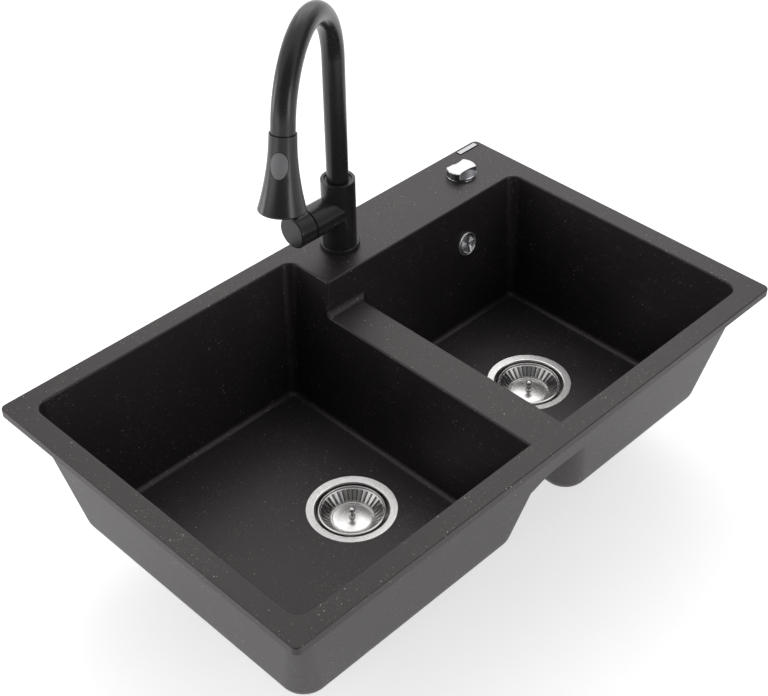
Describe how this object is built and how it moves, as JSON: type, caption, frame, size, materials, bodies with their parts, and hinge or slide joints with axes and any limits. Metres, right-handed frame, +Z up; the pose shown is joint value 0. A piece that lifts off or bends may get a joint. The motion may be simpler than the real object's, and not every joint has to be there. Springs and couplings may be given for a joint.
{
  "type": "double bowl kitchen sink",
  "caption": "Inset granite composite sink with a big and a small bowl joined by a low divider, a pull-out spray mixer tap, basket strainer wastes, an overflow and a rotary waste knob.",
  "frame": {"origin": "centre of the rim's underside, in the plane of the worktop", "axes": "+X to the right as seen from the front, +Y to the back where the tap stands, +Z up"},
  "size_m": [0.8, 0.5, 0.638],
  "materials": {
    "granite": "matt anthracite granite composite, fine texture",
    "satin_black": "satin black powder coat on brass",
    "black_moulding": "black moulded plastic",
    "grey_button": "grey soft-touch plastic",
    "polished_steel": "polished stainless steel",
    "chrome": "polished chrome plate",
    "brass": "plain turned brass",
    "zinc_steel": "zinc-plated steel",
    "rubber": "black rubber",
    "white_plastic": "white ceramic-cartridge housing plastic",
    "hose": "black braided nylon hose",
    "nameplate": "plain silver plate, left bare"
  },
  "bodies": {
    "sink": {"sink_body": "granite", "name_plate": "nameplate", "left_waste_flange": "polished_steel", "left_flange_gasket": "rubber", "left_body_seal": "rubber", "left_waste_body": "black_moulding", "left_waste_screw": "polished_steel", "right_waste_flange": "polished_steel", "right_flange_gasket": "rubber", "right_body_seal": "rubber", "right_waste_body": "black_moulding", "right_waste_screw": "polished_steel", "overflow_rose": "chrome", "overflow_gasket": "rubber", "overflow_elbow": "black_moulding", "knob_housing": "chrome", "knob_washer": "rubber", "knob_nut": "black_moulding", "cable_box": "black_moulding", "tap_base_ring": "satin_black", "tap_base_seal": "rubber", "tap_body": "satin_black", "tap_shank": "brass", "tap_clamp_pad": "rubber", "tap_clamp_plate": "zinc_steel", "tap_nut": "brass", "cartridge": "white_plastic", "cartridge_nut": "brass", "spout_bush": "black_moulding"},
    "spout": {"spout": "satin_black", "hose_guide": "black_moulding", "spray_hose": "hose"},
    "spray": {"hose_nut": "brass", "spray_core": "black_moulding", "spray_head": "satin_black", "spray_face": "black_moulding", "aerator": "black_moulding"},
    "button": {"spray_button": "grey_button"},
    "turret": {"handle_turret": "brass", "stem_pin": "zinc_steel"},
    "handle": {"handle_stem": "zinc_steel", "handle_cap": "satin_black", "handle_lever": "satin_black", "handle_screw": "zinc_steel"},
    "knob": {"waste_knob": "chrome", "knob_spindle": "brass"},
    "lift": {"lift_pin": "polished_steel"},
    "right_strainer": {"right_basket": "polished_steel", "right_plug_seal": "rubber", "right_basket_knob": "polished_steel"},
    "left_strainer": {"left_basket": "polished_steel", "left_plug_seal": "rubber", "left_basket_knob": "polished_steel"}
  },
  "joints": [
    {"name": "spout_swivel", "type": "hinge", "parent": "sink", "child": "spout", "pos_m": [0.09, 0.204, 0.1], "axis": [0, 0, 1], "range_deg": [-110, 110]},
    {"name": "spray_pull_out", "type": "slide", "parent": "spout", "child": "spray", "axis": [-0.1801, -0.104, -0.9781], "range_m": [0, 0.17], "deforming": ["spray_hose"]},
    {"name": "spray_button_press", "type": "slide", "parent": "spray", "child": "button", "axis": [0.7992, 0.5643, -0.2071], "range_m": [0, 0.002], "stiffness_N_per_m": 400},
    {"name": "handle_turn", "type": "hinge", "parent": "sink", "child": "turret", "pos_m": [0.0545, 0.204, 0.067], "axis": [-1, 0, 0], "range_deg": [-45, 45]},
    {"name": "handle_tilt", "type": "hinge", "parent": "turret", "child": "handle", "pos_m": [0.0545, 0.204, 0.067], "axis": [0, -1, 0], "range_deg": [0, 20]},
    {"name": "waste_knob_turn", "type": "hinge", "parent": "sink", "child": "knob", "pos_m": [0.32, 0.203, 0.012], "axis": [0, 0, 1], "range_deg": [0, 90]},
    {"name": "right_plug_lift", "type": "slide", "parent": "sink", "child": "lift", "axis": [0, 0, 1], "range_m": [0, 0.008]},
    {"name": "right_strainer_lift_out", "type": "slide", "parent": "lift", "child": "right_strainer", "axis": [0, 0, 1], "range_m": [0, 0.05]},
    {"name": "left_strainer_lift_out", "type": "slide", "parent": "sink", "child": "left_strainer", "axis": [0, 0, 1], "range_m": [0, 0.05]}
  ],
  "couplings": [
    {"joint": "right_plug_lift", "follows": "waste_knob_turn", "m_per_rad": 0.005092}
  ]
}
